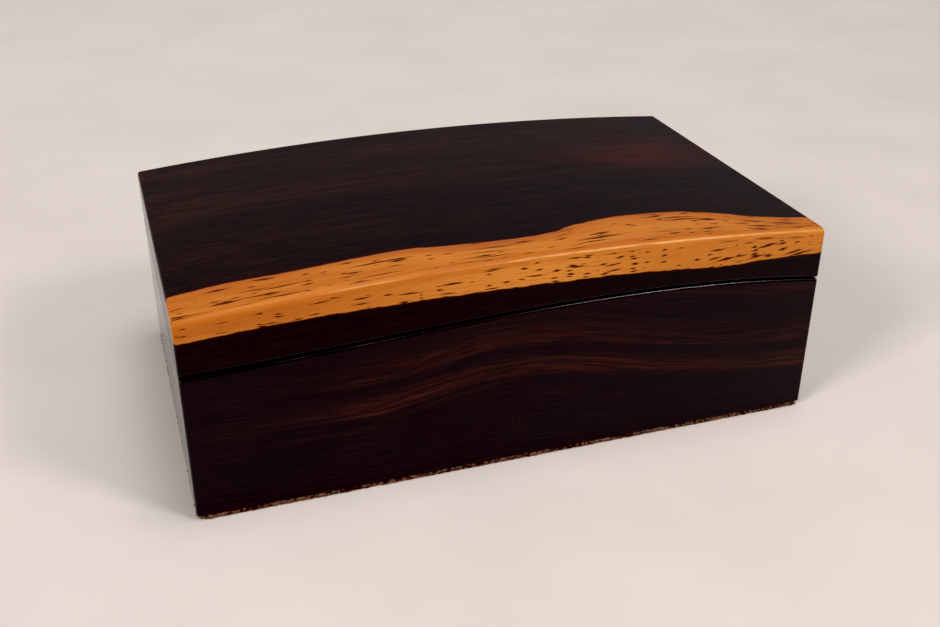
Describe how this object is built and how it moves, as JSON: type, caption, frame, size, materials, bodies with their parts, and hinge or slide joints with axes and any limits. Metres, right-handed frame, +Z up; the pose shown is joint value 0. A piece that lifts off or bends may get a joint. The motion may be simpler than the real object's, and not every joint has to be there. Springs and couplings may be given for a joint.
{
  "type": "keepsake box",
  "caption": "Rectangular hardwood keepsake box with a thick arched lid hinged at the back, an arched seam, suede lining and a suede skin underneath.",
  "frame": {"origin": "centre of the footprint, on the surface that the box stands on", "axes": "+X along the front to the right, +Y towards the hinges at the back, +Z up"},
  "size_m": [0.15, 0.09, 0.052],
  "materials": {
    "lid_wood": "satin oil finish; near-black heartwood with an amber sapwood stripe along the front top edge",
    "wall_wood": "satin oil finish; dark purple-brown heartwood with red-brown streaks",
    "panel_wood": "plain sanded birch plywood",
    "base_suede": "brown suede, fibrous cut edge",
    "lining_suede": "brown suede, short nap",
    "hinge_brass": "satin machined",
    "pin_brass": "drawn, satin",
    "screw_brass": "polished slotted heads"
  },
  "bodies": {
    "base": {"front_wall": "wall_wood", "back_wall": "wall_wood", "left_wall": "wall_wood", "right_wall": "wall_wood", "corner_tongues": "panel_wood", "bottom_panel": "panel_wood", "base_suede": "base_suede", "floor_pad": "lining_suede", "lining_front": "lining_suede", "lining_back": "lining_suede", "lining_left": "lining_suede", "lining_right": "lining_suede", "base_leaf_left": "hinge_brass", "base_leaf_right": "hinge_brass", "hinge_pin_left": "pin_brass", "hinge_pin_right": "pin_brass", "base_screws_left": "screw_brass", "base_screws_right": "screw_brass"},
    "lid": {"lid_panel": "lid_wood", "lid_lining": "lining_suede", "lid_leaf_left": "hinge_brass", "lid_leaf_right": "hinge_brass", "lid_screws_left": "screw_brass", "lid_screws_right": "screw_brass"}
  },
  "joints": [
    {"name": "lid_hinge", "type": "hinge", "parent": "base", "child": "lid", "pos_m": [0, 0.0427, 0.03775], "axis": [-1, 0, 0], "range_deg": [0, 95]}
  ]
}
